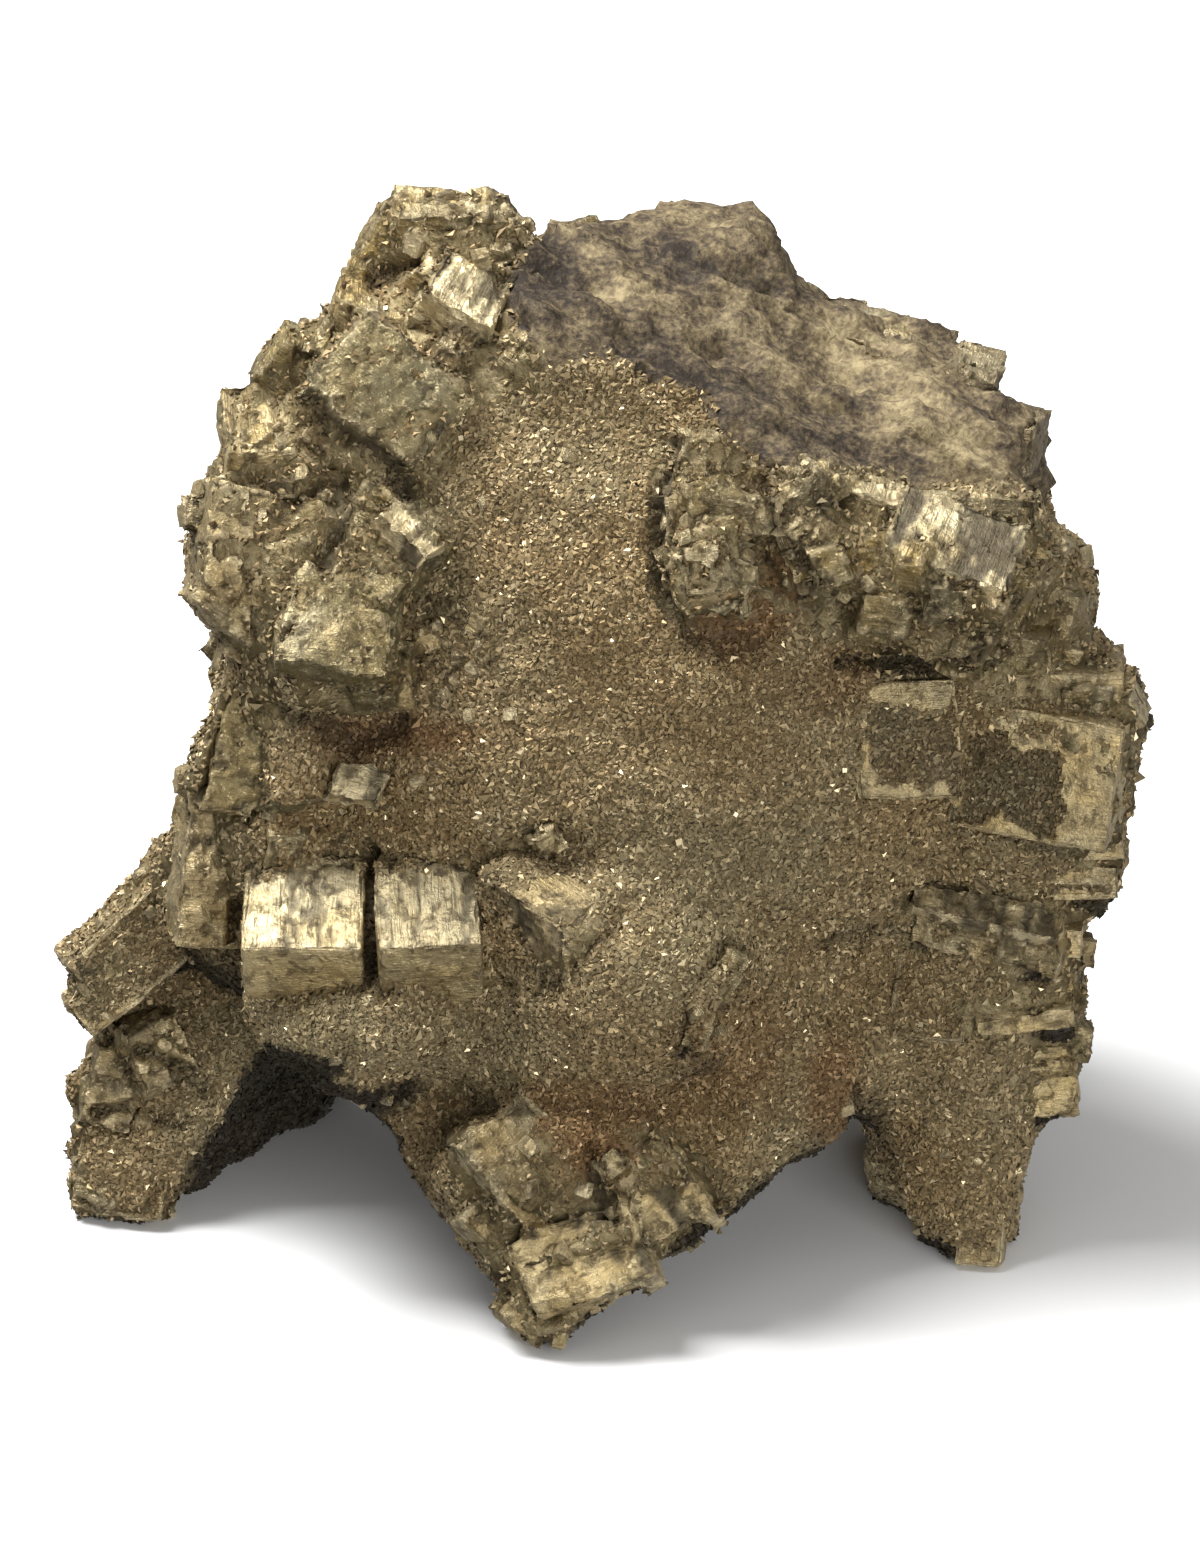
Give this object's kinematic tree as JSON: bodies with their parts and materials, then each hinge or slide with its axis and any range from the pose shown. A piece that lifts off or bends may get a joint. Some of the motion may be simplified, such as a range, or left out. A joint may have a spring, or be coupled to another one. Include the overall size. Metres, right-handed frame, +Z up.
{
  "type": "pyrite specimen",
  "caption": "Natural cluster of brassy cube crystals and sparkling drusy crust on grey rock, arched over a dark hollow and standing on its own feet.",
  "frame": {"origin": "on the ground under the middle of the specimen's box", "axes": "+X runs to the right of the show side, along the greatest width; +Y runs from the show side to the back; +Z is up. The show side faces -Y and leans back."},
  "size_m": [0.1212, 0.092, 0.1152],
  "materials": {
    "pyrite": "brassy crystal faces and a fine sparkling crust over dull rock"
  },
  "bodies": {
    "root": {"pyrite_cluster": "pyrite"}
  },
  "joints": []
}
